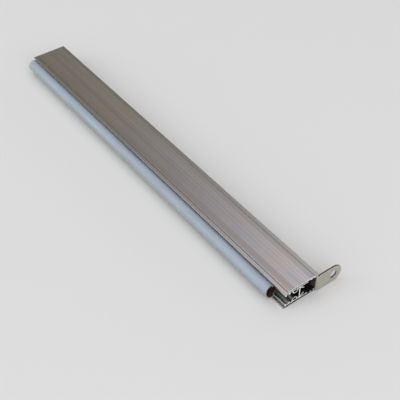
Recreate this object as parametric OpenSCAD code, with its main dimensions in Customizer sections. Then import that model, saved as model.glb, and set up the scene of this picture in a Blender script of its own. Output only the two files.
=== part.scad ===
// Drop seal profile: an extruded aluminium housing, the seal carrier that slides in it,
// a hollow silicone seal and a bent steel lug at one end.
// Millimetres. X runs from the mouth (-X) to the back (+X), Y along the stock, +Z up.
// The profile lies on one side wall; both walls are alike about the mid-height.

/* [Stock] */
// Length of the housing as it is sold
length = 335; // [200:1:1200]
// Depth of the section, from the mouth to the back
depth = 30; // [29:0.5:40]
// Height of the section, over both side walls
height = 15; // [14.6:0.1:18]

/* [Housing] */
// Thickness of the two side walls
side_wall = 1; // [0.9:0.05:1.2]
// Thickness of the back wall
back_wall = 1.4; // [1:0.1:1.8]
// Rounding of the two outer back corners
back_round = 0.6; // [0.2:0.1:1]
// Bevel on the outer edges of the mouth
mouth_bevel = 0.25; // [0.1:0.05:0.5]
// Width of the ribs inside the side walls
rib_w = 1.2; // [0.8:0.1:1.6]
// Height of the ribs inside the side walls
rib_h = 1; // [0.5:0.1:1.4]
// Distance between the two ribs of a wall
rib_pitch = 2.9; // [2.2:0.1:4]
// Width of the marking grooves on the outer faces
groove_w = 0.5; // [0.3:0.05:0.8]
// Depth of the marking grooves
groove_d = 0.25; // [0.1:0.05:0.4]
// Distance of the front grooves from the mouth
groove_front = 2.9; // [2:0.1:6]
// Distance of the rear grooves from the back
groove_rear = 3.4; // [2:0.1:6]

/* [Seal carrier] */
// Depth of the carrier, along the way it slides
carrier_depth = 20; // [19:0.1:21]
// Distance of the carrier behind the mouth when it is drawn in
carrier_recess = 1.2; // [0.5:0.1:2]
// Thickness of the carrier's two flanges
flange_t = 0.8; // [0.6:0.05:1]
// Space between a flange and the housing wall
flange_gap = 0.7; // [0.55:0.05:0.85]
// Running clearance of the guide beads on the housing wall
slide_gap = 0.3; // [0.2:0.05:0.4]
// Width of the lips at the carrier's front
lip_w = 1.2; // [0.8:0.1:1.4]
// Height of the lips, from a flange's outer face
lip_h = 2.2; // [1.8:0.05:2.6]
// Distance of the hooks from the carrier's front
hook_at = 3.2; // [2.7:0.05:3.6]
// Width of the hooks that hold the seal's feet
hook_w = 1.2; // [0.8:0.05:1.4]
// Height of the hooks, from a flange's outer face
hook_h = 2.05; // [1.6:0.05:2.3]
// Distance of the round chambers from the carrier's front
chamber_at = 8.7; // [8.2:0.1:9.2]
// Radius of the chambers' hollow
chamber_r = 1.7; // [1.2:0.1:2]
// Depth of the chambers' centres below the flanges' inner faces
chamber_drop = 0.5; // [0.2:0.05:0.8]
// Distance of the web from the carrier's front
web_at = 12.15; // [11.9:0.05:13.6]
// Thickness of the web
web_t = 1; // [0.8:0.1:1.4]
// Radius of the fillets in front of the web
web_fillet = 0.7; // [0.3:0.1:0.9]
// Length of the two arms behind the web
arm_len = 4.3; // [2:0.1:5]
// Thickness of the arms
arm_t = 0.85; // [0.6:0.05:1]
// Slope of the arms towards the mid-height, in degrees
arm_slope = 36; // [15:1:40]
// Distance of the carrier's ends inside the housing's ends
end_recess = 0.05; // [0:0.05:2]

/* [Seal] */
// Outer radius of the seal's round bulb
seal_r = 4.9; // [4.4:0.1:5.2]
// Wall thickness of the seal
seal_wall = 0.75; // [0.6:0.05:1]
// Distance of the bulb's centre in front of the carrier
seal_out = 2.2; // [1.8:0.05:3]
// Space between the seal and the carrier it is seated on
seat_gap = 0.2; // [0.1:0.05:0.3]
// Length of the seal's feet behind the hooks
foot_len = 1.2; // [0.8:0.1:1.4]
// Length of seal cut back at the lug's end
seal_cut = 8.5; // [0:0.5:40]

/* [End lug] */
// Thickness of the lug's strip
lug_t = 1; // [0.8:0.1:1.5]
// Length of the leg inside the housing
leg_len = 28; // [15:1:60]
// Clearance of the leg to the side walls and to the ribs
leg_gap = 0.2; // [0.1:0.05:0.3]
// Inner radius of the bend, and the space in front of the housing
bend_r = 0.5; // [0.3:0.1:1]
// Distance of the plate's edges inside the housing's outer faces
plate_inset = 0.1; // [0:0.05:0.6]
// Reach of the plate beyond the back
plate_reach = 19.9; // [16:0.1:30]
// Diameter of the screw hole
hole_d = 6; // [3.2:0.1:7]

/* [Hidden] */
$fn = 96;

mid = height / 2;
mouth_x = -depth / 2;
back_x = depth / 2;
near_y = -length / 2;

// Inner faces of the housing
cav_top = height - side_wall;
cav_back = back_x - back_wall;

// The leg of the lug lies between the back wall and the clip ribs
leg_x = cav_back - lug_t;
clip_x = leg_x - leg_gap - rib_w;
leg_w = 2 * (cav_top - mid - leg_gap);

// Upper flange of the carrier
front_x = mouth_x + carrier_recess;
flange_top = cav_top - flange_gap;
flange_low = flange_top - flange_t;
web_x = front_x + web_at;
web_back = web_x + web_t;
hook_back = front_x + hook_at + hook_w;
bead_r = flange_gap - slide_gap;
chamber_x = front_x + chamber_at;
bead_front = (hook_back + chamber_x - chamber_r) / 2;
bead_rear = front_x + carrier_depth - 2 * bead_r;

// The bulb stands in front of the lips; its legs pass between them and end in feet behind the hooks
seal_x = front_x - seal_out;
bulb_back = front_x - seat_gap;
seal_leg_out = flange_top - lip_h - seat_gap;
seal_leg_in = seal_leg_out - seal_wall;
foot_x = hook_back + seat_gap;
foot_out = flange_low - seat_gap;

// Plate of the lug, in front of the housing's end
bend_x = cav_back + bend_r;
plate_y = near_y - bend_r - lug_t / 2;
plate_w = height - 2 * plate_inset;
plate_end_r = plate_w / 2;
hole_x = back_x + plate_reach - plate_end_r;
plate_corner = (plate_w - leg_w) / 2;

// Draws its children and their mirror image about the mid-height
module both_walls() {
    children();
    translate([0, height])
        mirror([0, 1])
            children();
}

// Extrudes an X-Z section along Y, from y0 to y1
module along(y0, y1) {
    translate([0, y1, 0])
        rotate([90, 0, 0])
            linear_extrude(height = y1 - y0)
                children();
}

// V groove in the top face
module groove(x) {
    polygon([
        [x - groove_w / 2, height],
        [x, height - groove_d],
        [x + groove_w / 2, height],
        [x, height + groove_d],
    ]);
}

// What a round back corner takes off the square outline
module back_corner() {
    translate([back_x - back_round, height - back_round])
        difference() {
            square(2 * back_round);
            circle(r = back_round);
        }
}

module housing_section() {
    difference() {
        translate([mouth_x, 0])
            square([depth, height]);
        translate([mouth_x - 1, side_wall])
            square([cav_back - mouth_x + 1, height - 2 * side_wall]);
        both_walls() {
            back_corner();
            groove(mouth_x + groove_front);
            groove(back_x - groove_rear);
            translate([mouth_x, height])
                rotate(45)
                    square(mouth_bevel * sqrt(2), center = true);
        }
    }
    both_walls()
        for (x = [clip_x, clip_x - rib_pitch])
            translate([x, cav_top - rib_h])
                square([rib_w, rib_h + side_wall / 2]);
}

module housing() {
    color("#a8a6a6")
        along(near_y, -near_y)
            housing_section();
}

// Concave fillet between the web's front and the flange above it
module web_corner() {
    difference() {
        translate([web_x - web_fillet, flange_low - web_fillet])
            square([web_fillet + web_t / 2, web_fillet + flange_t / 2]);
        translate([web_x - web_fillet, flange_low - web_fillet])
            circle(r = web_fillet);
    }
}

// Round chamber under the upper flange: everything below a level, within a radius
module chamber(radius, level) {
    intersection() {
        translate([chamber_x, flange_low - chamber_drop])
            circle(r = radius);
        translate([front_x, 0])
            square([carrier_depth, level]);
    }
}

// Upper half of the carrier
module carrier_half() {
    difference() {
        union() {
            translate([front_x, flange_low])
                square([carrier_depth, flange_t]);
            translate([front_x, flange_top - lip_h])
                square([lip_w, lip_h]);
            translate([front_x + hook_at, flange_top - hook_h])
                square([hook_w, hook_h - flange_t / 2]);
            chamber(chamber_r + flange_t, flange_low + flange_t / 2);
            for (x = [bead_front, bead_rear])
                translate([x, flange_top])
                    circle(r = bead_r);
            translate([web_x, mid - web_t / 2])
                square([web_t, flange_top - mid]);
            web_corner();
            translate([web_back - arm_t / 2, flange_low - arm_t / 2])
                rotate(-arm_slope)
                    square([arm_len, arm_t]);
        }
        chamber(chamber_r, flange_low);
    }
}

module seal_carrier() {
    color("#c4c4c6")
        along(near_y + end_recess, -near_y - end_recess)
            both_walls()
                carrier_half();
}

// Both legs of the seal as one bar, with the barbed feet behind the hooks
module seal_legs() {
    foot_tip = foot_x + foot_len / 2;
    foot_end = foot_x + foot_len;
    polygon([
        [seal_x, seal_leg_out],
        [foot_x, seal_leg_out],
        [foot_x, foot_out],
        [foot_tip, foot_out],
        [foot_end, seal_leg_out],
        [foot_end, height - seal_leg_out],
        [foot_tip, height - foot_out],
        [foot_x, height - foot_out],
        [foot_x, height - seal_leg_out],
        [seal_x, height - seal_leg_out],
    ]);
}

// Part of a disc round the bulb's centre that lies in front of x = edge
module seal_disc(radius, edge) {
    intersection() {
        translate([seal_x, mid])
            circle(r = radius);
        translate([seal_x - seal_r - 1, mid - seal_r - 1])
            square([edge - seal_x + seal_r + 1, 2 * seal_r + 2]);
    }
}

// Hollow of the seal, open at the back between the legs
module seal_hollow() {
    seal_disc(seal_r - seal_wall, bulb_back - seal_wall);
    translate([seal_x, height - seal_leg_in])
        square([foot_x + foot_len - seal_x + 1, 2 * seal_leg_in - height]);
}

module seal() {
    start_y = near_y + seal_cut;
    stop_y = -near_y - end_recess;
    color("#bcc4c6")
        difference() {
            union() {
                along(start_y, stop_y)
                    seal_disc(seal_r, bulb_back);
                along(start_y, stop_y)
                    seal_legs();
            }
            along(start_y - 1, stop_y + 1)
                seal_hollow();
        }
}

// Leg and bend of the lug, seen from above
module lug_plan() {
    translate([leg_x, near_y])
        square([lug_t, leg_len]);
    translate([bend_x, near_y])
        intersection() {
            difference() {
                circle(r = bend_r + lug_t);
                circle(r = bend_r);
            }
            translate([-bend_r - lug_t, -bend_r - lug_t])
                square(bend_r + lug_t);
        }
}

// Plate of the lug, seen from the end: round outer end, small corners at the bend
module plate_section() {
    translate([hole_x, mid])
        circle(r = plate_end_r);
    translate([bend_x + plate_corner, mid - plate_w / 2])
        square([hole_x - bend_x - plate_corner, plate_w]);
    translate([bend_x, mid - leg_w / 2])
        square([2 * plate_corner, leg_w]);
    both_walls()
        translate([bend_x + plate_corner, mid + leg_w / 2])
            circle(r = plate_corner);
}

module end_lug() {
    color("#98958a")
        union() {
            translate([0, 0, mid])
                linear_extrude(height = leg_w, center = true)
                    lug_plan();
            along(plate_y - lug_t / 2, plate_y + lug_t / 2)
                difference() {
                    plate_section();
                    translate([hole_x, mid])
                        circle(d = hole_d);
                }
        }
}

housing();
seal_carrier();
seal();
end_lug();
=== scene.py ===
"""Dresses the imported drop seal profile: swept sections with eased edges, mill-finish metal and silicone."""

import math

import bmesh
import bpy
import numpy as np
from bpy.props import FloatProperty, FloatVectorProperty, IntProperty, PointerProperty, StringProperty
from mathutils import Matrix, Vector


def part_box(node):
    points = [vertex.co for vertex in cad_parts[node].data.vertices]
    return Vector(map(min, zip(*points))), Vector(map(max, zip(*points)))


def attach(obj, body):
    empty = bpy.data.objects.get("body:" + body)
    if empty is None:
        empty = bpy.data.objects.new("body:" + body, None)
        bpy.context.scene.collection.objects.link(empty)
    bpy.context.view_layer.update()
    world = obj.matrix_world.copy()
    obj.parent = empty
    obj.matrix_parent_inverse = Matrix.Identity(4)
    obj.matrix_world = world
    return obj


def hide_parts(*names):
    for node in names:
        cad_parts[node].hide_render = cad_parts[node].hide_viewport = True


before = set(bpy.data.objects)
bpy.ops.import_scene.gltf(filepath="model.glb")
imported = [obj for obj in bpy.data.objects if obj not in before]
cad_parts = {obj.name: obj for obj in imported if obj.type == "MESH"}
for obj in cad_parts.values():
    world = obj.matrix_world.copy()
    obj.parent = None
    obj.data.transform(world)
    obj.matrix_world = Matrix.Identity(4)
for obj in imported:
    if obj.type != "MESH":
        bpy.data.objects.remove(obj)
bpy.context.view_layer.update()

bl_info = {
    "name": "Drop Seal Profile",
    "version": (1, 0, 0),
    "blender": (4, 5, 0),
    "location": "View3D > Sidebar > Drop Seal",
    "description": "Sweeps the sections of a drop seal profile and gives them their finishes",
    "category": "Object",
}

MM = 0.001
# Points nearer than this are one point, and a face within the slack of a limit counts as at it
SAME_PLACE = 1e-7
SLACK = 0.05 * MM
# Sockets of a Mix node that is set to colours
MIX_A, MIX_B, MIX_OUT = 6, 7, 2
HOUSING_BODY = "housing_body"
SEAL_BODY = "seal_bar"

HOUSING_LOW, HOUSING_HIGH = (np.array(corner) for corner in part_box("housing"))
CARRIER_LOW, CARRIER_HIGH = (np.array(corner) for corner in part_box("seal_carrier"))
SEAL_LOW, SEAL_HIGH = (np.array(corner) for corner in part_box("seal"))
LUG_LOW, LUG_HIGH = (np.array(corner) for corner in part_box("end_lug"))
MID_Z = float(HOUSING_LOW[2] + HOUSING_HIGH[2]) / 2


def size_prop(name, description, millimetres):
    """A length property whose default is given in millimetres."""
    return FloatProperty(
        name=name, description=description, default=millimetres * MM, precision=5,
        unit="LENGTH", subtype="DISTANCE",
    )


def angle_prop(name, description, degrees):
    """An angle property whose default is given in degrees."""
    return FloatProperty(name=name, description=description, default=math.radians(degrees), subtype="ANGLE")


def count_prop(name, description, count):
    """A whole number of points or rings, 3 or more."""
    return IntProperty(name=name, description=description, default=count, min=3)


def colour_prop(name, description, code):
    """A colour kept as an sRGB hex code."""
    return StringProperty(name=name, description=description, default=code)


class HousingSection(bpy.types.PropertyGroup):
    """Sizes of the housing's section, as in the solids"""

    side_wall: size_prop("Side wall", "Thickness of the two side walls", 1.0)
    back_wall: size_prop("Back wall", "Thickness of the back wall", 1.4)
    back_round: size_prop("Back rounding", "Radius of the outer back corners", 0.6)
    mouth_bevel: size_prop("Mouth easing", "Easing of the outer mouth edges", 0.25)
    mouth_depth: size_prop("Mouth depth", "How far the bright finish reaches into the mouth", 3.0)
    rib_w: size_prop("Rib width", "Width of the ribs inside the walls", 1.2)
    rib_h: size_prop("Rib height", "Height of the ribs inside the walls", 1.0)
    rib_pitch: size_prop("Rib pitch", "Distance between a wall's two ribs", 2.9)
    clip_x: size_prop("Clip rib", "Place of the rear ribs, which clip the lug", 11.2)
    groove_w: size_prop("Groove width", "Width of the marking grooves", 0.5)
    groove_d: size_prop("Groove depth", "Depth of the marking grooves", 0.25)
    groove_front: size_prop("Front groove", "Distance of the front grooves from the mouth", 2.9)
    groove_rear: size_prop("Rear groove", "Distance of the rear grooves from the back", 3.4)


class CarrierSection(bpy.types.PropertyGroup):
    """Sizes of the carrier's section, as in the solids"""

    flange_t: size_prop("Flange", "Thickness of the flanges", 0.8)
    bead_r: size_prop("Bead", "Radius of the guide beads on the flanges", 0.4)
    bead_front: size_prop("Front bead", "Distance of the front beads from the carrier's front", 5.7)
    lip_w: size_prop("Lip width", "Width of the front lips", 1.2)
    lip_h: size_prop("Lip height", "Height of the front lips", 2.2)
    hook_at: size_prop("Hook place", "Distance of the hooks from the carrier's front", 3.2)
    hook_w: size_prop("Hook width", "Width of the hooks", 1.2)
    hook_h: size_prop("Hook height", "Height of the hooks", 2.05)
    chamber_at: size_prop("Chamber place", "Distance of the chambers from the carrier's front", 8.7)
    chamber_r: size_prop("Chamber radius", "Radius of the chambers' hollow", 1.7)
    chamber_drop: size_prop("Chamber drop", "Depth of the chambers' centres below the flanges", 0.5)
    web_at: size_prop("Web place", "Distance of the web from the carrier's front", 12.15)
    web_t: size_prop("Web", "Thickness of the web", 1.0)
    web_fillet: size_prop("Web fillet", "Radius of the fillets in front of the web", 0.7)
    arm_len: size_prop("Arm length", "Length of the arms behind the web", 4.3)
    arm_t: size_prop("Arm", "Thickness of the arms", 0.85)
    arm_slope: angle_prop("Arm slope", "Slope of the arms", 36)


class SealSection(bpy.types.PropertyGroup):
    """Sizes of the seal's section, and how it lies along the mouth"""

    radius: size_prop("Radius", "Outer radius of the bulb", 4.9)
    wall: size_prop("Wall", "Thickness of the seal's wall", 0.75)
    bulb_len: size_prop("Bulb", "Depth of the bulb behind its centre", 2.0)
    leg_out: size_prop("Leg", "Distance of the legs' outer faces from the mid-height", 3.4)
    foot_len: size_prop("Foot length", "Length of the feet behind the hooks", 1.2)
    foot_out: size_prop("Foot reach", "Distance of the feet's outer faces from the mid-height", 4.8)
    wave: size_prop("Wave", "How far the soft front strays from a straight line", 0.16)
    wave_length: size_prop("Wave length", "Length of one such wave", 118.0)
    cut_in: size_prop("Cut", "How far the soft end draws back from its solid", 2.0)
    cut_slant: size_prop("Cut slant", "How far the knife cut runs out of square", 2.0)
    leg_cut: size_prop("Leg cut", "How much further in the legs are cut", 3.5)
    cut_fade: size_prop("Cut fade", "Length over which the cut's pull fades out along the seal", 30.0)
    corner: size_prop("Section corners", "Easing of the corners of the seal's section", 0.12)
    smooth: angle_prop("Smoothing", "Steepest bend that is shaded smooth", 35)
    steps: count_prop("Steps", "Points on an eased corner", 3)
    rings: count_prop("Rings", "Rings along the seal", 161)


class LugShape(bpy.types.PropertyGroup):
    """Sizes of the bent lug, as in the solids"""

    strip: size_prop("Strip", "Thickness of the strip", 1.0)
    bend_r: size_prop("Bend", "Inner radius of the bend", 0.5)
    leg_w: size_prop("Leg width", "Width of the leg inside the housing", 12.6)
    hole_r: size_prop("Hole", "Radius of the screw hole", 3.0)
    hole_in: size_prop("Hole place", "Distance of the hole's centre from the plate's tip", 7.4)
    edge: size_prop("Edge easing", "Easing of the sheared edges", 0.1)


class EdgeEasing(bpy.types.PropertyGroup):
    """Small roundings that the extrusion die and the deburred cuts leave"""

    corner: size_prop("Section corners", "Easing of the corners of a drawn section", 0.18)
    end: size_prop("Cut ends", "Easing of the edges round a cut end", 0.1)
    crisp: size_prop("Crisp corners", "Easing of the groove's edges, which stay crisp", 0.05)
    steps: count_prop("Steps", "Points on an eased corner, an odd number", 5)
    rings: count_prop("Rings", "Rings along a straight extrusion, between its ends", 9)


class Finishes(bpy.types.PropertyGroup):
    """Colours of the finishes, as sRGB hex codes"""

    mill: colour_prop("Mill finish", "Aluminium as it leaves the die", "#cbc8c6")
    mill_dark: colour_prop("Mill finish, dark", "Die lines and handling marks", "#aaa7a5")
    # Painted shade: the dark colour of the faces inside the housing and the carrier
    inner: colour_prop("Inside", "Dull aluminium inside the housing", "#565552")
    groove: colour_prop("Rear grooves", "Lighter oxide in the rear marking grooves", "#7d7a76")
    # Painted light: the lighter colour near the mouth, where light comes in
    mouth_light: colour_prop("Inside, rubbed", "The same metal next to the mouth", "#b4b8b4")
    sawn: colour_prop("Sawn end", "Fresh sawn aluminium", "#f6f6f6")
    # Painted shade on the sawn ends: their lowest millimetre and the edges of the gap over the carrier's
    # flange
    end_shade: colour_prop("Shade", "Painted grime on the edges of a sawn end", "#3c3f4a")
    silicone: colour_prop("Silicone", "Pale grey silicone", "#98a3b1")
    # Darker colour for the dust streaks, and painted shade on the seal's lower side
    silicone_dust_and_shade: colour_prop("Silicone, dusty", "Where dust clings to the silicone", "#8d9695")
    # Painted shade: the darker grey of the knife cut
    silicone_cut_shaded: colour_prop("Silicone, cut", "Knife cut through the seal", "#8b8a86")
    # Painted shade: the dark brown inside the seal's hollow
    hollow: colour_prop("Silicone hollow", "Inside of the seal's hollow", "#4b3530")
    steel: colour_prop("Stainless", "Dull rolled stainless strip", "#d0ccc2")
    steel_dark: colour_prop("Stainless, dark", "Rolling grain of the strip", "#aeaaa0")
    sheared: colour_prop("Sheared edge", "Torn, dull edges of the strip", "#5e5a52")
    floor: colour_prop("Floor", "Plain pale floor", "#dedede")


class StageSettings(bpy.types.PropertyGroup):
    """Camera, floor and lights"""

    azimuth: angle_prop("Azimuth", "Camera's turn round the part", -36.64)
    elevation: angle_prop("Elevation", "Camera's height over the part", 43.73)
    distance: size_prop("Distance", "Camera to the point it looks at", 627.4)
    look_at: FloatVectorProperty(
        name="Look at", description="Point in the middle of the view", default=(-0.0061, -0.0636, 0.015),
        subtype="TRANSLATION", precision=4,
    )
    lens: FloatProperty(name="Lens", description="Focal length in mm", default=78.08)
    sensor: FloatProperty(name="Sensor", description="Width of the camera's sensor in mm", default=36.0)
    floor_size: FloatProperty(name="Floor", description="Side of the floor", default=30.0, unit="LENGTH")
    lamp_size: FloatProperty(name="Lamps", description="Side of the soft lamps", default=0.9, unit="LENGTH")


def linear(code, shade=1.0):
    """An sRGB hex code as a linear RGBA colour, times a shade."""
    srgb = np.array([int(code[k:k + 2], 16) for k in (1, 3, 5)]) / 255
    rgb = np.where(srgb <= 0.04045, srgb / 12.92, ((srgb + 0.055) / 1.055) ** 2.4)
    return (*(rgb * shade).tolist(), 1.0)


def add_node(tree, kind, settings=None, values=None, links=None):
    """Adds one node, sets its attributes and input values, and links its inputs to other nodes' outputs."""
    made = tree.nodes.new(kind)
    for name, value in (settings or {}).items():
        setattr(made, name, value)
    for name, value in (values or {}).items():
        made.inputs[name].default_value = value
    for name, socket in (links or {}).items():
        tree.links.new(socket, made.inputs[name])
    return made


def ramp_stops(ramp, stops):
    """Sets a colour ramp's stops from (position, colour) pairs."""
    elements = ramp.color_ramp.elements
    while len(elements) > 1:
        elements.remove(elements[-1])
    elements[0].position, elements[0].color = stops[0]
    for position, colour in stops[1:]:
        elements.new(position).color = colour


def new_material(name, **constants):
    """A material with a Principled shader whose constant sockets are set, with its tree and shader."""
    material = bpy.data.materials.new(name)
    material.use_nodes = True
    tree = material.node_tree
    shader = tree.nodes["Principled BSDF"]
    for socket, value in constants.items():
        shader.inputs[socket.replace("_", " ")].default_value = value
    return material, tree, shader


def feed(tree, shader, **sockets):
    """Links other nodes' outputs to the shader's sockets."""
    for name, socket in sockets.items():
        tree.links.new(socket, shader.inputs[name.replace("_", " ")])


def streaks(tree, place, cell, turn=(0.0, 0.0, 0.0), **noise):
    """The lines, marks or clouds of a finish: noise drawn out to cells of these millimetres along X, Y, Z."""
    scale = tuple(1 / (side * MM) for side in cell)
    drawn = add_node(
        tree, "ShaderNodeMapping", values={"Rotation": turn, "Scale": scale}, links={"Vector": place},
    )
    return add_node(
        tree, "ShaderNodeTexNoise", values={"Scale": 1.0, **noise}, links={"Vector": drawn.outputs["Vector"]},
    ).outputs["Fac"]


def mill_aluminium():
    """Extruded aluminium, mill finish: long die lines along Y, satin, with pale and darker bands."""
    looks = bpy.context.scene.dropseal_finishes
    material, tree, shader = new_material("mill_finish_aluminium", Metallic=1.0)
    place = add_node(tree, "ShaderNodeTexCoord").outputs["Object"]
    # Die lines are 0.1 to 0.3 mm apart; drawn about 0.8 mm apart so that they show at the photograph's scale
    lines = streaks(tree, place, (0.8, 300, 0.8), Detail=3.0, Roughness=0.62)
    # Bands about 7 mm wide, where the die ran warmer or cooler
    bands = streaks(tree, place, (7, 420, 7), Detail=2.0, Roughness=0.5)
    band_share = add_node(
        tree, "ShaderNodeMath", settings={"operation": "MULTIPLY"}, values={1: 0.4}, links={0: bands},
    )
    both = add_node(
        tree, "ShaderNodeMath", settings={"operation": "MULTIPLY_ADD"}, values={1: 0.6},
        links={0: lines, 2: band_share.outputs[0]},
    ).outputs[0]
    tint = add_node(tree, "ShaderNodeValToRGB", links={"Fac": both})
    ramp_stops(tint, [(0.36, linear(looks.mill_dark)), (0.58, linear(looks.mill))])
    # Stripes at fixed places across the section, each colour multiplying the finish: die stripes, and a light
    # stripe about 1.5 mm in from the mouth and a darker mouth edge, which are a painted highlight and painted
    # shade
    across = add_node(
        tree, "ShaderNodeMapRange",
        values={"From Min": float(HOUSING_LOW[0]), "From Max": float(HOUSING_HIGH[0])},
        links={"Value": add_node(tree, "ShaderNodeSeparateXYZ", links={"Vector": place}).outputs["X"]},
    )
    stripes_and_painted_light = add_node(tree, "ShaderNodeValToRGB", links={"Fac": across.outputs["Result"]})
    ramp_stops(stripes_and_painted_light, [
        (0.0, (0.72, 0.71, 0.70, 1)), (0.03, (0.86, 0.84, 0.83, 1)), (0.05, (0.97, 0.94, 0.93, 1)),
        (0.075, (0.92, 0.89, 0.87, 1)), (0.11, (0.87, 0.83, 0.80, 1)), (0.20, (0.89, 0.86, 0.84, 1)),
        (0.28, (0.92, 0.90, 0.90, 1)), (0.6, (0.97, 0.96, 0.97, 1)), (0.86, (1.04, 1.04, 1.04, 1)),
        (0.9, (0.90, 0.90, 0.88, 1)), (1.0, (0.92, 0.92, 0.90, 1)),
    ])
    # Faint lavender and warm clouds, about 14 mm wide and 38 mm long, where the surface was handled
    clouds = add_node(
        tree, "ShaderNodeValToRGB", links={"Fac": streaks(tree, place, (14, 38, 14), Detail=1.0)},
    )
    ramp_stops(clouds, [
        (0.35, (0.95, 0.965, 1.02, 1)), (0.5, (1, 1, 1, 1)), (0.65, (1.03, 0.98, 0.95, 1)),
    ])
    finish = tint.outputs["Color"]
    for tone in (stripes_and_painted_light, clouds):
        finish = add_node(
            tree, "ShaderNodeMix", settings={"data_type": "RGBA", "blend_type": "MULTIPLY"},
            values={"Factor": 1.0}, links={MIX_A: finish, MIX_B: tone.outputs["Color"]},
        ).outputs[MIX_OUT]
    rough = add_node(
        tree, "ShaderNodeMapRange", links={"Value": both},
        values={"From Min": 0.35, "From Max": 0.65, "To Min": 0.25, "To Max": 0.16},
    )
    bump = add_node(
        tree, "ShaderNodeBump", values={"Strength": 0.25, "Distance": 0.02 * MM}, links={"Height": lines},
    )
    feed(tree, shader, Base_Color=finish, Roughness=rough.outputs["Result"], Normal=bump.outputs["Normal"])
    return material


def dull_aluminium(name, code, mouth_code):
    """The same metal, dull and streaked, in a darker colour, which inside the part is painted shade; near the
    mouth it fades to another colour, which inside the part is lighter: painted light coming in at the mouth.
    """
    material, tree, shader = new_material(name, Metallic=1.0)
    place = add_node(tree, "ShaderNodeTexCoord").outputs["Object"]
    oxide = streaks(tree, place, (1.5, 90, 1.5), Detail=3.0)
    tint = add_node(tree, "ShaderNodeValToRGB", links={"Fac": oxide})
    ramp_stops(tint, [(0.35, linear(code, 0.6)), (0.65, linear(code))])
    # The mouth's colour fades out from 3 to 8 mm behind the carrier's front; inside the part it is painted
    # light coming in at the mouth
    front = float(CARRIER_LOW[0])
    near_mouth = add_node(
        tree, "ShaderNodeMapRange",
        values={"From Min": front + 3 * MM, "From Max": front + 8 * MM, "To Min": 1.0, "To Max": 0.0},
        links={"Value": add_node(tree, "ShaderNodeSeparateXYZ", links={"Vector": place}).outputs["X"]},
    )
    colour = add_node(
        tree, "ShaderNodeMix", settings={"data_type": "RGBA"}, values={MIX_B: linear(mouth_code)},
        links={"Factor": near_mouth.outputs["Result"], MIX_A: tint.outputs["Color"]},
    )
    rough = add_node(
        tree, "ShaderNodeMapRange", values={"To Min": 0.42, "To Max": 0.6}, links={"Value": oxide},
    )
    feed(tree, shader, Base_Color=colour.outputs[MIX_OUT], Roughness=rough.outputs["Result"])
    return material


def sawn_aluminium():
    """A sawn end: bright metal with fine parallel tooth marks, and painted shade along its lowest millimetre
    and round the gap over the carrier's upper flange.
    """
    scene = bpy.context.scene
    looks = scene.dropseal_finishes
    material, tree, shader = new_material("sawn_aluminium", Metallic=0.3)
    place = add_node(tree, "ShaderNodeTexCoord").outputs["Object"]
    # Tooth marks about 0.4 mm apart, running down the end with a lean of 20 degrees
    marks = streaks(tree, place, (0.4, 1, 6), turn=(0.0, math.radians(20), 0.0), Detail=2.0)
    tint = add_node(tree, "ShaderNodeValToRGB", links={"Fac": marks})
    ramp_stops(tint, [(0.3, linear(looks.sawn, 0.8)), (0.6, linear(looks.sawn))])
    # Painted shade darkens the lowest millimetre, where the end meets the floor
    split = add_node(tree, "ShaderNodeSeparateXYZ", links={"Vector": place})
    above = add_node(
        tree, "ShaderNodeMapRange", values={"From Min": 0.8 * MM, "From Max": 1.3 * MM},
        links={"Value": split.outputs["Z"]},
    )
    # Painted shade also darkens the edges of the gap between the carrier's upper flange and the wall over it
    flange = float(CARRIER_HIGH[2]) - scene.dropseal_carrier.bead_r
    wall = float(HOUSING_HIGH[2]) - scene.dropseal_housing.side_wall
    over_gap = add_node(
        tree, "ShaderNodeMath", settings={"operation": "SUBTRACT"}, values={1: (flange + wall) / 2},
        links={0: split.outputs["Z"]},
    )
    from_gap = add_node(
        tree, "ShaderNodeMath", settings={"operation": "ABSOLUTE"}, links={0: over_gap.outputs[0]},
    )
    off_gap = add_node(
        tree, "ShaderNodeMapRange", values={"From Min": 0.45 * MM, "From Max": 0.6 * MM},
        links={"Value": from_gap.outputs[0]},
    )
    behind = add_node(
        tree, "ShaderNodeMath", settings={"operation": "GREATER_THAN"}, values={1: float(CARRIER_HIGH[0])},
        links={0: split.outputs["X"]},
    )
    clear = add_node(
        tree, "ShaderNodeMath", settings={"operation": "MAXIMUM"},
        links={0: off_gap.outputs["Result"], 1: behind.outputs[0]},
    )
    unshaded = add_node(
        tree, "ShaderNodeMath", settings={"operation": "MULTIPLY"},
        links={0: above.outputs["Result"], 1: clear.outputs[0]},
    )
    colour = add_node(
        tree, "ShaderNodeMix", settings={"data_type": "RGBA"}, values={MIX_A: linear(looks.end_shade)},
        links={"Factor": unshaded.outputs[0], MIX_B: tint.outputs["Color"]},
    )
    rough = add_node(
        tree, "ShaderNodeMapRange", values={"To Min": 0.28, "To Max": 0.48}, links={"Value": marks},
    )
    bump = add_node(
        tree, "ShaderNodeBump", values={"Strength": 0.3, "Distance": 0.03 * MM}, links={"Height": marks},
    )
    feed(
        tree, shader, Base_Color=colour.outputs[MIX_OUT], Roughness=rough.outputs["Result"],
        Normal=bump.outputs["Normal"],
    )
    return material


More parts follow.
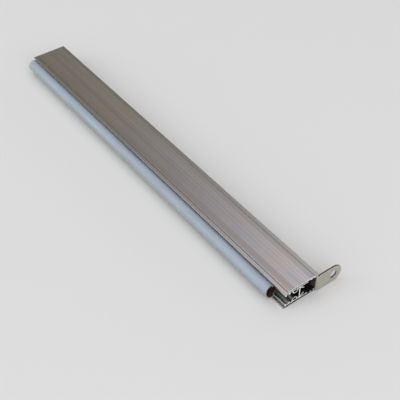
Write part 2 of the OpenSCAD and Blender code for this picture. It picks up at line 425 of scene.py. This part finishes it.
def pale_silicone():
    """Extruded silicone: soft sheen, a little light gets in, dust in faint long streaks, and painted shade on
    its lower side.
    """
    looks = bpy.context.scene.dropseal_finishes
    material, tree, shader = new_material(
        "extruded_silicone", IOR=1.43, Subsurface_Weight=0.12, Subsurface_Scale=1.0 * MM,
        Subsurface_Radius=(1.0, 1.0, 1.0),
    )
    place = add_node(tree, "ShaderNodeTexCoord").outputs["Object"]
    dust = streaks(tree, place, (4, 40, 4), Detail=4.0, Roughness=0.6)
    # Painted shade: the lower side, next to the floor, takes more of the darker colour
    painted_low_shade = add_node(
        tree, "ShaderNodeMapRange",
        values={"From Min": MID_Z - 2 * MM, "From Max": MID_Z + 4 * MM, "To Min": 0.35, "To Max": -0.2},
        links={"Value": add_node(tree, "ShaderNodeSeparateXYZ", links={"Vector": place}).outputs["Z"]},
    )
    dust_and_shade = add_node(
        tree, "ShaderNodeMath", settings={"operation": "ADD"}, links={0: dust, 1: painted_low_shade.outputs["Result"]},
    )
    tint = add_node(tree, "ShaderNodeValToRGB", links={"Fac": dust_and_shade.outputs[0]})
    ramp_stops(tint, [(0.3, linear(looks.silicone)), (0.75, linear(looks.silicone_dust_and_shade))])
    rough = add_node(
        tree, "ShaderNodeMapRange", values={"To Min": 0.28, "To Max": 0.5}, links={"Value": dust},
    )
    feed(tree, shader, Base_Color=tint.outputs["Color"], Roughness=rough.outputs["Result"])
    return material


def shaded_cut_silicone():
    """The knife cut through the seal: duller than its skin, with drag marks; its darker grey is painted
    shade.
    """
    code = bpy.context.scene.dropseal_finishes.silicone_cut_shaded
    material, tree, shader = new_material("shaded_cut_silicone", IOR=1.43, Roughness=0.6)
    place = add_node(tree, "ShaderNodeTexCoord").outputs["Object"]
    drag = streaks(tree, place, (0.8, 0.8, 0.8), Detail=2.0)
    tint = add_node(tree, "ShaderNodeValToRGB", links={"Fac": drag})
    ramp_stops(tint, [(0.35, linear(code, 0.75)), (0.65, linear(code))])
    feed(tree, shader, Base_Color=tint.outputs["Color"])
    return material


def shaded_hollow_silicone():
    """Inside of the seal's hollow: dull, in a dark brown that is painted shade, so that the cut end looks
    dark inside.
    """
    code = bpy.context.scene.dropseal_finishes.hollow
    material, tree, shader = new_material("shaded_hollow_silicone", IOR=1.43, Roughness=0.7)
    place = add_node(tree, "ShaderNodeTexCoord").outputs["Object"]
    tint = add_node(tree, "ShaderNodeValToRGB", links={"Fac": streaks(tree, place, (3, 3, 3), Detail=2.0)})
    ramp_stops(tint, [(0.35, linear(code, 0.7)), (0.65, linear(code))])
    feed(tree, shader, Base_Color=tint.outputs["Color"])
    return material


def rolled_stainless():
    """Dull rolled stainless strip: warm grey, with a fine grain along X."""
    looks = bpy.context.scene.dropseal_finishes
    material, tree, shader = new_material("rolled_stainless_strip", Metallic=1.0)
    place = add_node(tree, "ShaderNodeTexCoord").outputs["Object"]
    grain = streaks(tree, place, (3, 0.6, 0.6), Detail=4.0, Roughness=0.65)
    tint = add_node(tree, "ShaderNodeValToRGB", links={"Fac": grain})
    ramp_stops(tint, [(0.34, linear(looks.steel_dark)), (0.62, linear(looks.steel))])
    rough = add_node(
        tree, "ShaderNodeMapRange", values={"To Min": 0.36, "To Max": 0.52}, links={"Value": grain},
    )
    bump = add_node(
        tree, "ShaderNodeBump", values={"Strength": 0.15, "Distance": 0.02 * MM}, links={"Height": grain},
    )
    feed(
        tree, shader, Base_Color=tint.outputs["Color"], Roughness=rough.outputs["Result"],
        Normal=bump.outputs["Normal"],
    )
    return material


def sheared_stainless():
    """Sheared edges and hole of the strip: torn and dull, so that they draw a dark line round it."""
    code = bpy.context.scene.dropseal_finishes.sheared
    material, tree, shader = new_material("sheared_stainless_edge", Metallic=1.0, Roughness=0.5)
    place = add_node(tree, "ShaderNodeTexCoord").outputs["Object"]
    # Tear marks about 0.3 mm apart, across the strip's thickness
    tears = streaks(tree, place, (0.3, 2, 0.3), Detail=2.0)
    tint = add_node(tree, "ShaderNodeValToRGB", links={"Fac": tears})
    ramp_stops(tint, [(0.35, linear(code, 0.6)), (0.65, linear(code))])
    feed(tree, shader, Base_Color=tint.outputs["Color"])
    return material


def arc(centre, radius, start, stop, count):
    """Points on a circle from angle start to stop, in degrees, both ends included."""
    angle = np.radians(np.linspace(start, stop, count))
    return np.stack([centre[0] + radius * np.cos(angle), centre[1] + radius * np.sin(angle)], axis=1)


def mirrored_outline(upper):
    """Closes an outline whose upper half runs from the mid-height round to the mid-height again:
    the lower half is the upper one turned over about the mid-height and run backwards."""
    lower = upper[::-1].copy()
    lower[:, 1] = 2 * MID_Z - lower[:, 1]
    return np.concatenate([upper, lower])


def without_repeats(outline):
    """A closed outline without the points that repeat the one before them."""
    return outline[np.linalg.norm(outline - np.roll(outline, 1, axis=0), axis=1) > SAME_PLACE]


def ease_corners(outline, reach, steps, share=0.4):
    """Eases each corner of a closed outline with a parabola: it leaves one edge at the given reach from the
    corner, bends towards the corner and joins the other edge at the same reach, never past the given share of
    a short edge."""
    before = np.roll(outline, 1, axis=0) - outline
    after = np.roll(outline, -1, axis=0) - outline
    len_before = np.linalg.norm(before, axis=1, keepdims=True)
    len_after = np.linalg.norm(after, axis=1, keepdims=True)
    limit = share * np.minimum(len_before, len_after)
    back = np.minimum(np.reshape(reach, (-1, 1)) * np.ones_like(limit), limit)
    start = outline + before / len_before * back
    stop = outline + after / len_after * back
    t = np.linspace(0, 1, steps)[None, :, None]
    curve = (1 - t) ** 2 * start[:, None] + 2 * t * (1 - t) * outline[:, None] + t ** 2 * stop[:, None]
    return curve.reshape(-1, 2)


def drawn_in(outline, depth):
    """A closed counter-clockwise outline drawn in by a depth: each edge moves in along its normal, and each
    corner goes to where its two moved edges meet."""
    edge = np.roll(outline, -1, axis=0) - outline
    edge /= np.linalg.norm(edge, axis=1, keepdims=True)
    after = np.stack([edge[:, 1], -edge[:, 0]], axis=1)
    before = np.roll(after, 1, axis=0)
    return outline - depth * (before + after) / (1 + np.sum(before * after, axis=1, keepdims=True))


def end_stations(low, high, ease, inner, points=4):
    """Places along Y, with how far the section shrinks there: a quarter round of radius ease, with so many
    points, at both ends, and even steps between them."""
    t = np.linspace(0, math.pi / 2, points)
    run = ease * (1 - np.cos(t))
    shrink = ease * (1 - np.sin(t))
    middle = np.linspace(low + ease, high - ease, inner)[1:-1]
    y = np.concatenate([low + run, middle, (high - run)[::-1]])
    inset = np.concatenate([shrink, np.zeros(len(middle)), shrink[::-1]])
    return y, inset


def sweep(outline, y, inset, reach, steps):
    """Carries a closed outline along Y: the ring at each place is the outline drawn in there, with eased
    corners. Returns the grid of points, one row for each ring."""
    flat = np.stack([ease_corners(drawn_in(outline, depth), reach, steps) for depth in inset])
    along = np.broadcast_to(y[:, None], flat.shape[:2])
    return np.stack([flat[..., 0], along, flat[..., 1]], axis=2)


def swept_piece(name, grids, ends, materials, side_index, smooth_angle=None):
    """Makes a closed mesh of swept loops: quads between each loop's rings, and flat faces over both ends.
    Loops run counter-clockwise seen from -Y, holes clockwise. ends lists the near end's faces by place in the
    ring, the loops counted on; side_index gives each strip's material; the ends take the last material."""
    grid = np.concatenate(grids, axis=1)
    rings, count = grid.shape[:2]
    start = np.cumsum([0] + [loop.shape[1] for loop in grids])
    after = np.concatenate([np.roll(np.arange(a, b), -1) for a, b in zip(start[:-1], start[1:])])
    ring = np.arange(rings - 1)[:, None] * count
    here = np.arange(count)[None]
    quads = np.stack([ring + here, ring + count + here, ring + count + after, ring + after], axis=2)
    near = [np.asarray(end) for end in ends]
    far = [(rings - 1) * count + end[::-1] for end in near]
    mesh = bpy.data.meshes.new(name)
    faces = quads.reshape(-1, 4).tolist() + [end.tolist() for end in near + far]
    mesh.from_pydata(grid.reshape(-1, 3), [], faces)
    for material in materials:
        mesh.materials.append(material)
    index = np.concatenate([np.tile(side_index, rings - 1), np.full(len(near) * 2, len(materials) - 1)])
    mesh.polygons.foreach_set("material_index", index.astype(np.int32))
    if smooth_angle is not None:
        mesh.shade_smooth()
        mesh.set_sharp_from_angle(angle=smooth_angle)
    mesh.update()
    piece = bpy.data.objects.new(name, mesh)
    bpy.context.scene.collection.objects.link(piece)
    return piece


def edge_middles(outline):
    """Middle of each edge of a closed outline."""
    return (outline + np.roll(outline, -1, axis=0)) / 2


def housing_outline(size, ease):
    """Section of the housing: a U open at the mouth, with two ribs inside and two V grooves outside
    each wall. Returns the outline and how far each of its corners is eased."""
    corner = ease.corner
    mouth, back = HOUSING_LOW[0], HOUSING_HIGH[0]
    top = HOUSING_HIGH[2]
    inside = top - size.side_wall
    rib_top = inside - size.rib_h
    half = size.groove_w / 2
    rear, front = back - size.groove_rear, mouth + size.groove_front
    clip, fore = size.clip_x, size.clip_x - size.rib_pitch
    corners = [
        (back, top, size.back_round),
        (rear + half, top, 0.0), (rear, top - size.groove_d, 0.0), (rear - half, top, 0.0),
        (front + half, top, 0.0), (front, top - size.groove_d, 0.0), (front - half, top, 0.0),
        (mouth, top, size.mouth_bevel), (mouth, inside, corner), (mouth + size.mouth_depth, inside, corner),
        (fore, inside, corner), (fore, rib_top, corner), (fore + size.rib_w, rib_top, corner),
        (fore + size.rib_w, inside, corner),
        (clip, inside, corner), (clip, rib_top, corner), (clip + size.rib_w, rib_top, corner),
        (clip + size.rib_w, inside, corner),
        (back - size.back_wall, inside, corner),
    ]
    upper = np.array(corners)
    outline = mirrored_outline(upper[:, :2])
    reach = np.concatenate([upper[:, 2], upper[::-1, 2]])
    return outline, np.maximum(reach, ease.crisp)


def carrier_outline(size):
    """Section of the carrier: two flanges with lips, hooks and round chambers, a web between them and two
    arms behind it. Returns the outline, and the upper chamber's hollow run clockwise from the middle of its
    flat side."""
    front, rear = CARRIER_LOW[0], CARRIER_HIGH[0]
    top = CARRIER_HIGH[2] - size.bead_r
    low = top - size.flange_t
    web, web_back = front + size.web_at, front + size.web_at + size.web_t
    run = np.array([math.cos(size.arm_slope), -math.sin(size.arm_slope)])
    rise = np.array([-run[1], run[0]])
    root = np.array([web_back - size.arm_t / 2, low - size.arm_t / 2])
    under = root + run * (web_back - root[0]) / run[0]
    shoulder = root + rise * size.arm_t
    over = shoulder + run * (low - shoulder[1]) / run[1]
    lip, lip_back = top - size.lip_h, front + size.lip_w
    hook, hook_back = front + size.hook_at, front + size.hook_at + size.hook_w
    hook_tip = top - size.hook_h
    bead = np.array([front + size.bead_front, top])
    bead_rear = np.array([rear - 2 * size.bead_r, top])
    fillet = np.array([web - size.web_fillet, low - size.web_fillet])
    chamber = np.array([front + size.chamber_at, low - size.chamber_drop])
    outer_r = size.chamber_r + size.flange_t
    over_outer = math.degrees(math.asin(size.chamber_drop / outer_r))
    over_inner = math.degrees(math.asin(size.chamber_drop / size.chamber_r))
    upper = np.concatenate([
        [(web_back, MID_Z), under, root + run * size.arm_len, shoulder + run * size.arm_len, over],
        [(rear, low), (rear, top)],
        arc(bead_rear, size.bead_r, 0, 180, 9),
        [(chamber[0], top)],
        arc(bead, size.bead_r, 0, 180, 9),
        [(front, top), (front, lip), (lip_back, lip), (lip_back, low)],
        [(hook, low), (hook, hook_tip), (hook_back, hook_tip), (hook_back, low)],
        arc(chamber, outer_r, 180 - over_outer, 360 + over_outer, 25),
        arc(fillet, size.web_fillet, 90, 0, 7),
        [(web, MID_Z)],
    ])
    hollow = np.concatenate([
        [(chamber[0], low)],
        arc(chamber, size.chamber_r, 360 + over_inner, 180 - over_inner, 25),
    ])
    # The two ends of the half meet their own mirror image on the mid-height, so only one of each is kept
    return without_repeats(mirrored_outline(upper)), hollow


def places(first, last):
    """Places along a ring from first to last."""
    return np.arange(first, last + 1)


def carrier_ends(outline, hollow_count, chamber_x, steps):
    """The carrier's end as three simple faces: it is cut through both chambers along x = chamber_x, which
    leaves the upper front, the lower front and the rest. Places are counted along the eased rings: outline,
    upper hollow, lower hollow."""
    middle = steps // 2
    a, b, c, d = np.flatnonzero(np.abs(outline[:, 0] - chamber_x) < SAME_PLACE) * steps + middle
    upper, ring = len(outline) * steps, hollow_count * steps
    lower = upper + ring
    far_side = hollow_count // 2 * steps + middle
    return [
        np.concatenate([places(a, b), upper + places(far_side, ring - 1), upper + places(0, middle)]),
        np.concatenate([
            places(c, d),
            lower + places(ring - steps + middle, ring - 1), lower + places(0, far_side - steps),
        ]),
        np.concatenate([
            places(d, upper - 1), places(0, a), upper + places(middle, far_side), places(b, c),
            lower + places(far_side - steps, ring - steps + middle),
        ]),
    ]


def seal_outline(size):
    """Section of the seal: a hollow bulb, flat where it meets the carrier, on two legs that end in barbed
    feet and are open between them. Returns the outline and how many of its points lie outside the hollow."""
    centre = np.array([SEAL_LOW[0] + size.radius, MID_Z])
    inner_r = size.radius - size.wall
    bulb_back = centre[0] + size.bulb_len
    back = SEAL_HIGH[0]
    foot = back - size.foot_len
    leg_out, leg_in = MID_Z + size.leg_out, MID_Z + size.leg_out - size.wall
    foot_out = MID_Z + size.foot_out
    outer_start = math.degrees(math.acos(size.bulb_len / size.radius))
    inner_stop = math.degrees(math.acos((size.bulb_len - size.wall) / inner_r))
    upper = np.concatenate([
        [(back, leg_in), (back, leg_out), (back - size.foot_len / 2, foot_out), (foot, foot_out)],
        [(foot, leg_out), (bulb_back, leg_out)],
        arc(centre, size.radius, outer_start, 180, 33),
    ])
    inner = np.concatenate([
        arc(centre, inner_r, 180, inner_stop, 29),
        [(bulb_back - size.wall, leg_in)],
    ])
    # Outer side: upper leg, bulb, lower leg; then back along the hollow
    outer = np.delete(mirrored_outline(upper), len(upper), axis=0)
    inner_low = mirrored_outline(inner)[len(inner):]
    return np.concatenate([outer, inner_low, inner[1:]]), len(outer)


def plate_loops(size):
    """The lug's plate seen from the end: a half circle at the tip, straight sides and small round corners at
    the bend. Returns the outline from the tip, the hole run clockwise from the side nearest the tip, and the
    place in the outline where the bend crosses the mid-height."""
    tip, top = LUG_HIGH[0], LUG_HIGH[2]
    bend_x = LUG_LOW[0] + size.strip + size.bend_r
    corner = top - MID_Z - size.leg_w / 2
    centre = np.array([tip - size.hole_in, MID_Z])
    upper = np.concatenate([
        arc(centre, top - MID_Z, 0, 90, 25),
        arc((bend_x + corner, top - corner), corner, 90, 180, 9),
        [(bend_x, MID_Z)],
    ])
    hole = arc(centre, size.hole_r, 0, -360, 49)[:-1]
    return without_repeats(mirrored_outline(upper)), hole, len(upper) - 1


def plate_ends(outline_count, hole_count, bend_place, steps):
    """The plate's end as two simple faces, cut along the mid-height through the hole. Places are counted
    along the eased rings: outline, hole."""
    middle = steps // 2
    tip, bend, hole = middle, bend_place * steps + middle, outline_count * steps
    far_side, ring = hole_count // 2 * steps + middle, hole_count * steps
    return [
        np.concatenate([places(tip, bend), hole + places(far_side, ring - 1), hole + places(0, middle)]),
        np.concatenate([places(bend, hole - 1), places(0, tip), hole + places(middle, far_side)]),
    ]


def leg_outline(size):
    """The lug's leg and bend seen from above: a straight strip and a quarter ring that ends in the plate."""
    near = LUG_LOW[1] + size.strip + size.bend_r
    outer, inner = LUG_LOW[0], LUG_LOW[0] + size.strip
    centre = np.array([inner + size.bend_r, near])
    lap = centre[0] + 0.4 * size.strip
    keep_in = 0.05 * size.strip
    return np.concatenate([
        [(inner, LUG_HIGH[1]), (outer, LUG_HIGH[1])],
        arc(centre, size.bend_r + size.strip, 180, 270, 13),
        [(lap, LUG_LOW[1] + keep_in), (lap, LUG_LOW[1] + size.strip - keep_in)],
        arc(centre, size.bend_r, 270, 180, 9),
    ])


def joined(name, pieces):
    """Puts the meshes of several pieces with the same materials into one piece."""
    whole = bmesh.new()
    for piece in pieces:
        whole.from_mesh(piece.data)
    mesh = bpy.data.meshes.new(name)
    whole.to_mesh(mesh)
    whole.free()
    for material in pieces[0].data.materials:
        mesh.materials.append(material)
    for piece in pieces:
        bpy.data.meshes.remove(piece.data)
    made = bpy.data.objects.new(name, mesh)
    bpy.context.scene.collection.objects.link(made)
    return made


class DROPSEAL_OT_housing(bpy.types.Operator):
    """Sweep the housing's section along the stock, with die lines outside, dull metal inside darkened as
    painted shade and lightened near the mouth as painted light, and sawn ends
    """

    bl_idname = "dropseal.housing"
    bl_label = "Housing"

    def execute(self, context):
        size, ease = context.scene.dropseal_housing, context.scene.dropseal_easing
        outline, reach = housing_outline(size, ease)
        y, inset = end_stations(HOUSING_LOW[1], HOUSING_HIGH[1], ease.end, ease.rings)
        grid = sweep(outline, y, inset, reach, ease.steps)
        middle = edge_middles(grid[len(y) // 2][:, [0, 2]])
        x, from_mid = middle[:, 0], np.abs(middle[:, 1] - MID_Z)
        in_mouth = x < HOUSING_LOW[0] + size.mouth_depth - SLACK
        between_walls = from_mid < MID_Z - size.side_wall + SLACK
        inside = between_walls & ~in_mouth & (x < HOUSING_HIGH[0] - size.back_wall + SLACK)
        front, rear = HOUSING_LOW[0] + size.groove_front, HOUSING_HIGH[0] - size.groove_rear
        from_groove = np.minimum(np.abs(x - front), np.abs(x - rear))
        grooves = (from_groove < size.groove_w / 2) & (from_mid > MID_Z - size.side_wall / 2)
        # The part lies on its lower wall; that wall's mouth face and the strip inside the mouth take the
        # lighter mouth colour, painted light over the shade next to the floor
        mouth = in_mouth & (between_walls | (x < HOUSING_LOW[0] + SLACK)) & (middle[:, 1] < MID_Z) & ~grooves
        # Each strip's number, worked out below, is its finish's place in this list
        looks = context.scene.dropseal_finishes
        finishes = [
            mill_aluminium(),
            dull_aluminium("inner_painted_shade_aluminium", looks.inner, looks.inner),
            dull_aluminium("oxide_in_grooves", looks.groove, looks.inner),
            dull_aluminium("inner_shade_mouth_light_aluminium", looks.inner, looks.mouth_light),
            sawn_aluminium(),
        ]
        piece = swept_piece(
            "housing_profile", [grid], [np.arange(grid.shape[1])], finishes, inside + 2 * grooves + 3 * mouth,
        )
        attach(piece, HOUSING_BODY)
        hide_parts("housing")
        return {"FINISHED"}


class DROPSEAL_OT_carrier(bpy.types.Operator):
    """Sweep the carrier's section, which holds the seal and slides in the housing"""

    bl_idname = "dropseal.carrier"
    bl_label = "Seal carrier"

    def execute(self, context):
        size, ease = context.scene.dropseal_carrier, context.scene.dropseal_easing
        y, inset = end_stations(CARRIER_LOW[1], CARRIER_HIGH[1], ease.end, ease.rings)
        outline, hollow = carrier_outline(size)
        lower = mirrored_outline(hollow)[len(hollow):]
        grids = [sweep(loop, y, inset, ease.corner, ease.steps) for loop in (outline, hollow, lower)]
        # Outside and on the lower lip the carrier has the mill finish; its other inside faces take the dark
        # inside colour, painted shade, which near the mouth turns to painted light
        middle = np.concatenate([edge_middles(loop[len(y) // 2][:, [0, 2]]) for loop in grids])
        lower_lip = (middle[:, 0] < CARRIER_LOW[0] + size.lip_w + SLACK) & (middle[:, 1] < MID_Z)
        flange = CARRIER_HIGH[2] - size.bead_r
        dull = (np.abs(middle[:, 1] - MID_Z) < flange - MID_Z - SLACK) & ~lower_lip
        finishes = ("mill_finish_aluminium", "inner_shade_mouth_light_aluminium", "sawn_aluminium")
        piece = swept_piece(
            "seal_carrier_profile", grids, carrier_ends(outline, len(hollow), hollow[0, 0], ease.steps),
            [bpy.data.materials[finish] for finish in finishes], dull,
        )
        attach(piece, SEAL_BODY)
        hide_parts("seal_carrier")
        return {"FINISHED"}


class DROPSEAL_OT_seal(bpy.types.Operator):
    """Sweep the hollow seal along the mouth; its soft front strays a little and its knife cut leans"""

    bl_idname = "dropseal.seal"
    bl_label = "Silicone seal"

    def execute(self, context):
        size = context.scene.dropseal_seal
        outline, outer = seal_outline(size)
        y = np.linspace(SEAL_LOW[1], SEAL_HIGH[1], size.rings)
        grid = sweep(outline, y, np.zeros(size.rings), size.corner, size.steps)
        # Softness: 0 at the bulb's middle, 1 at its front
        soft = np.clip((SEAL_LOW[0] + size.radius - grid[..., 0]) / size.radius, 0, 1)
        # Sine waves of unlike lengths draw the front in by up to the wave's size, and half as far up or down
        turn = 2 * math.pi * grid[..., 1] / size.wave_length
        stray = 0.6 * np.sin(turn) + 0.4 * np.sin(2.3 * turn + 1.1)
        grid[..., 0] += size.wave * soft * (1 + stray) / 2
        grid[..., 2] += 0.5 * size.wave * soft * np.sin(1.4 * turn + 0.4)
        # The near end is drawn back, its upper side and its legs furthest, less and less along the seal:
        # lean goes from 0 under the bulb to 1 on top, and legs from 0 on the bulb to 1 a millimetre behind it
        depth = (grid[..., 1] - SEAL_LOW[1]) / size.cut_fade
        lean = np.clip((grid[..., 2] - MID_Z) / size.radius, -1, 1) * 0.5 + 0.5
        legs = np.clip((grid[..., 0] - SEAL_LOW[0] - size.radius - size.bulb_len) / MM, 0, 1)
        cut = size.cut_in + size.cut_slant * lean + size.leg_cut * legs
        grid[..., 1] += cut * np.clip(1 - depth, 0, 1)
        around = np.arange(grid.shape[1])
        piece = swept_piece(
            "silicone_seal", [grid], [around], [pale_silicone(), shaded_hollow_silicone(), shaded_cut_silicone()],
            around >= outer * size.steps - 1, smooth_angle=size.smooth,
        )
        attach(piece, SEAL_BODY)
        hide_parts("seal")
        return {"FINISHED"}


class DROPSEAL_OT_lug(bpy.types.Operator):
    """Make the bent lug: a plate with a screw hole and a leg, rolled faces and sheared edges"""

    bl_idname = "dropseal.lug"
    bl_label = "End lug"

    def execute(self, context):
        size, steps = context.scene.dropseal_lug, context.scene.dropseal_easing.steps
        outline, hole, bend_place = plate_loops(size)
        y, inset = end_stations(LUG_LOW[1], LUG_LOW[1] + size.strip, size.edge, inner=3)
        grids = [sweep(loop, y, inset, size.edge, steps) for loop in (outline, hole)]
        materials = [sheared_stainless(), rolled_stainless()]
        plate = swept_piece(
            "lug_plate", grids, plate_ends(len(outline), len(hole), bend_place, steps), materials,
            np.zeros(sum(loop.shape[1] for loop in grids)),
        )
        # The leg is swept up Z: a grid with Y and Z changed over, so that each ring runs the other way round
        z, inset = end_stations(MID_Z - size.leg_w / 2, MID_Z + size.leg_w / 2, size.edge, inner=3)
        grid = sweep(leg_outline(size), z, inset, size.edge, steps)[:, ::-1][..., [0, 2, 1]]
        leg = swept_piece("lug_leg", [grid], [np.arange(grid.shape[1])], materials, np.ones(grid.shape[1]))
        piece = joined("bent_end_lug", [plate, leg])
        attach(piece, HOUSING_BODY)
        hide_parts("end_lug")
        return {"FINISHED"}


class DROPSEAL_OT_stage(bpy.types.Operator):
    """Set the pale floor, the soft light and the camera"""

    bl_idname = "dropseal.stage"
    bl_label = "Stage"

    def execute(self, context):
        stage, looks = context.scene.dropseal_stage, context.scene.dropseal_finishes
        half = stage.floor_size / 2
        corners = np.array([(-1, -1, 0), (1, -1, 0), (1, 1, 0), (-1, 1, 0)]) * half
        mesh = bpy.data.meshes.new("floor")
        mesh.from_pydata(corners, [], [(0, 1, 2, 3)])
        floor = bpy.data.objects.new("floor", mesh)
        context.scene.collection.objects.link(floor)
        material, _, shader = new_material("pale_floor", Roughness=0.6, Specular_IOR_Level=0.2)
        shader.inputs["Base Color"].default_value = linear(looks.floor)
        mesh.materials.append(material)
        self.light(context, stage)
        self.camera(context, stage)
        context.scene.view_settings.view_transform = "Standard"
        return {"FINISHED"}

    def light(self, context, stage):
        """A dome that is bright overhead and on the mouth's side and dim half-way up behind the part, where
        the top face mirrors it, as in a room with a wide soft light over the table and a pale wall behind the
        viewer; with a large soft lamp on the mouth's side and one in front of the near end."""
        world = bpy.data.worlds.new("studio")
        context.scene.world = world
        world.use_nodes = True
        tree = world.node_tree
        tree.nodes.clear()
        direction = add_node(tree, "ShaderNodeTexCoord").outputs["Generated"]
        split = add_node(tree, "ShaderNodeSeparateXYZ", links={"Vector": direction})
        # Heights over the horizon in degrees, and the light's colour there; a ramp takes the height's sine
        behind = [
            (0, (1.7, 1.7, 1.7)), (12, (1.3, 1.3, 1.3)), (22, (0.35, 0.33, 0.31)), (30, (0.25, 0.24, 0.19)),
            (34, (0.28, 0.265, 0.2)), (38, (0.32, 0.3, 0.23)), (42, (0.37, 0.36, 0.325)),
            (45, (0.41, 0.44, 0.52)), (46.5, (0.52, 0.57, 0.68)), (48.5, (0.98, 0.9, 0.92)),
            (60, (1.2, 1.2, 1.2)), (75, (0.85, 0.85, 0.87)), (90, (0.8, 0.8, 0.82)),
        ]
        before = [
            (0, (1.9, 1.92, 1.9)), (15, (1.6, 1.62, 1.6)), (25, (1.2, 1.21, 1.2)), (40, (0.9, 0.9, 0.92)),
            (90, (0.8, 0.8, 0.82)),
        ]
        domes = []
        for stops in (behind, before):
            dome = add_node(tree, "ShaderNodeValToRGB", links={"Fac": split.outputs["Z"]})
            ramp_stops(dome, [(math.sin(math.radians(height)), (*colour, 1.0)) for height, colour in stops])
            domes.append(dome.outputs["Color"])
        # The second dome takes over towards the mouth's side
        mouth_side = (-0.95, -0.3, 0.0)
        facing = add_node(
            tree, "ShaderNodeVectorMath", settings={"operation": "DOT_PRODUCT"}, values={1: mouth_side},
            links={0: direction},
        )
        side = add_node(
            tree, "ShaderNodeMapRange", settings={"interpolation_type": "SMOOTHSTEP"},
            values={"From Min": -0.1, "From Max": 0.5}, links={"Value": facing.outputs["Value"]},
        )
        dome = add_node(
            tree, "ShaderNodeMix", settings={"data_type": "RGBA"},
            links={"Factor": side.outputs["Result"], MIX_A: domes[0], MIX_B: domes[1]},
        )
        lit = add_node(
            tree, "ShaderNodeBackground", values={"Strength": 1.0}, links={"Color": dome.outputs[MIX_OUT]},
        )
        add_node(tree, "ShaderNodeOutputWorld", links={"Surface": lit.outputs["Background"]})
        # Lamps that point at the part: name, place in metres and watts
        for name, place, watts in (
            ("side_lamp", (-1.2, 0.7, 1.0), 3.0),
            ("front_lamp", (-0.15, -1.35, 0.95), 3.5),
        ):
            light = bpy.data.lights.new(name, "AREA")
            light.shape, light.size, light.energy = "SQUARE", stage.lamp_size, watts
            lamp = bpy.data.objects.new(name, light)
            lamp.location = place
            lamp.rotation_euler = (-lamp.location).to_track_quat("-Z", "Y").to_euler()
            context.scene.collection.objects.link(lamp)

    def camera(self, context, stage):
        """Camera on a sphere round the point it looks at."""
        look_at = Vector(stage.look_at)
        out = Vector((
            math.sin(stage.azimuth) * math.cos(stage.elevation),
            -math.cos(stage.azimuth) * math.cos(stage.elevation),
            math.sin(stage.elevation),
        ))
        data = bpy.data.cameras.new("camera")
        data.sensor_width, data.lens = stage.sensor, stage.lens
        data.clip_start = 0.01
        camera = bpy.data.objects.new("camera", data)
        camera.location = look_at + out * stage.distance
        camera.rotation_euler = (-out).to_track_quat("-Z", "Y").to_euler()
        context.scene.collection.objects.link(camera)
        context.scene.camera = camera


class DROPSEAL_PT_panel(bpy.types.Panel):
    """Lists the steps that dress the part"""

    bl_idname = "DROPSEAL_PT_panel"
    bl_label = "Drop Seal"
    bl_space_type = "VIEW_3D"
    bl_region_type = "UI"
    bl_category = "Drop Seal"

    def draw(self, context):
        for operator in OPERATORS:
            self.layout.operator(operator.bl_idname)
        for name in GROUPS:
            group = getattr(context.scene, name)
            box = self.layout.box()
            for key in group.__annotations__:
                box.prop(group, key)


GROUPS = {
    "dropseal_housing": HousingSection,
    "dropseal_carrier": CarrierSection,
    "dropseal_seal": SealSection,
    "dropseal_lug": LugShape,
    "dropseal_easing": EdgeEasing,
    "dropseal_finishes": Finishes,
    "dropseal_stage": StageSettings,
}
OPERATORS = (
    DROPSEAL_OT_stage,
    DROPSEAL_OT_housing,
    DROPSEAL_OT_carrier,
    DROPSEAL_OT_seal,
    DROPSEAL_OT_lug,
)
CLASSES = (*GROUPS.values(), *OPERATORS, DROPSEAL_PT_panel)


def register():
    for kind in CLASSES:
        bpy.utils.register_class(kind)
    for name, group in GROUPS.items():
        setattr(bpy.types.Scene, name, PointerProperty(type=group))


def unregister():
    for name in GROUPS:
        delattr(bpy.types.Scene, name)
    for kind in reversed(CLASSES):
        bpy.utils.unregister_class(kind)


def main():
    register()
    bpy.ops.dropseal.stage()
    bpy.ops.dropseal.housing()
    bpy.ops.dropseal.carrier()
    bpy.ops.dropseal.seal()
    bpy.ops.dropseal.lug()


if __name__ == "__main__":
    main()
